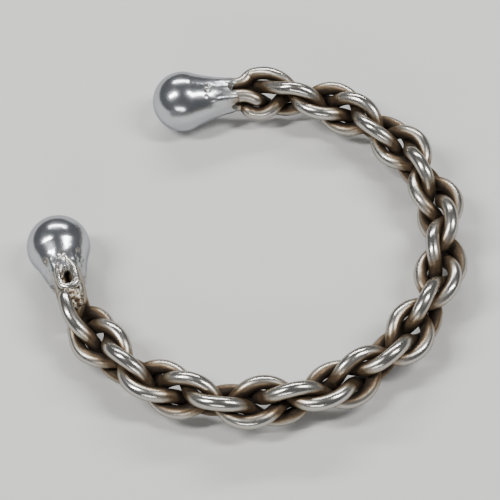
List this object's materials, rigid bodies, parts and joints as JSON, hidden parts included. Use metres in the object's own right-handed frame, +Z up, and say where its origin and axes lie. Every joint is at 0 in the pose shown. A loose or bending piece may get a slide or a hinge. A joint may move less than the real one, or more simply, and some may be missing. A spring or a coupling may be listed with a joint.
{
  "type": "twisted wire cuff bracelet",
  "caption": "Open wrist cuff of thick silver wire twisted into cords that are laid the opposite way, ending in polished balls with tapered necks.",
  "frame": {"origin": "middle of the bounding box, at its lowest point", "axes": "+Z up out of the flat ring, +X across the mouth, -Y out through the mouth between the balls"},
  "size_m": [0.0728, 0.0694, 0.0108],
  "materials": {
    "aged_silver_wire": "worn bright on the crests, brown-black tarnish in the hollows",
    "polished_silver": "polished with fine scratches",
    "worn_silver": "worn satin",
    "silver_solder": "grainy and dull"
  },
  "bodies": {
    "root": {"cord_a_wire_1": "aged_silver_wire", "cord_a_wire_2": "aged_silver_wire", "cord_b_wire_1": "aged_silver_wire", "cord_b_wire_2": "aged_silver_wire", "smooth_terminal": "polished_silver", "looped_terminal": "polished_silver", "neck_loop": "worn_silver", "solder_lump": "silver_solder"}
  },
  "joints": []
}
